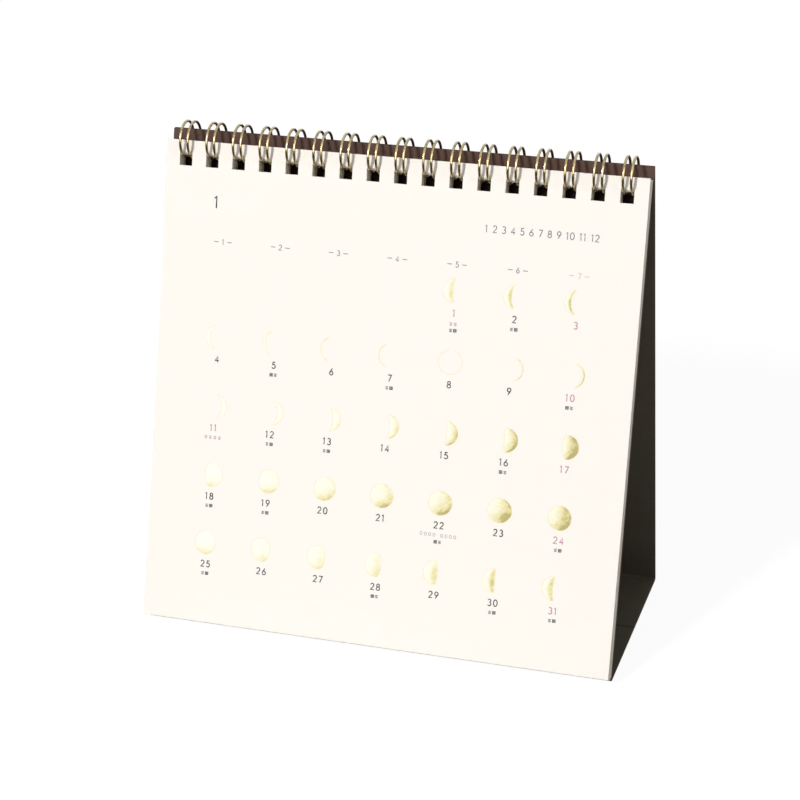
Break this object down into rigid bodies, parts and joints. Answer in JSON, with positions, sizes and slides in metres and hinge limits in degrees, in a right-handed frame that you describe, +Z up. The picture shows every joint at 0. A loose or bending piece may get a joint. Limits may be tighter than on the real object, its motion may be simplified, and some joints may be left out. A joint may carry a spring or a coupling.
{
  "type": "desk calendar",
  "caption": "Free-standing desk calendar: a block of square leaves bound by a twin-loop wire to a board folded into a triangular tent.",
  "frame": {"origin": "middle of the base's underside, on the surface that the calendar stands on", "axes": "+X along the binding, to the right as seen from the front; +Y from the leaves towards the back panel; +Z up"},
  "size_m": [0.148, 0.0762, 0.1529],
  "materials": {
    "board": "matt brown board, printed on both sides, with paler folds",
    "leaves": "smooth matt white card leaves, printed on the first",
    "wire": "antique gold coated steel wire, half gloss"
  },
  "bodies": {
    "tent": {"stand": "board", "wire_binding": "wire"},
    "pages": {"page_block": "leaves"}
  },
  "joints": [
    {"name": "page_turn", "type": "hinge", "parent": "tent", "child": "pages", "pos_m": [0, -0.00313, 0.14708], "axis": [-1, 0, 0], "range_deg": [0, 130]}
  ]
}
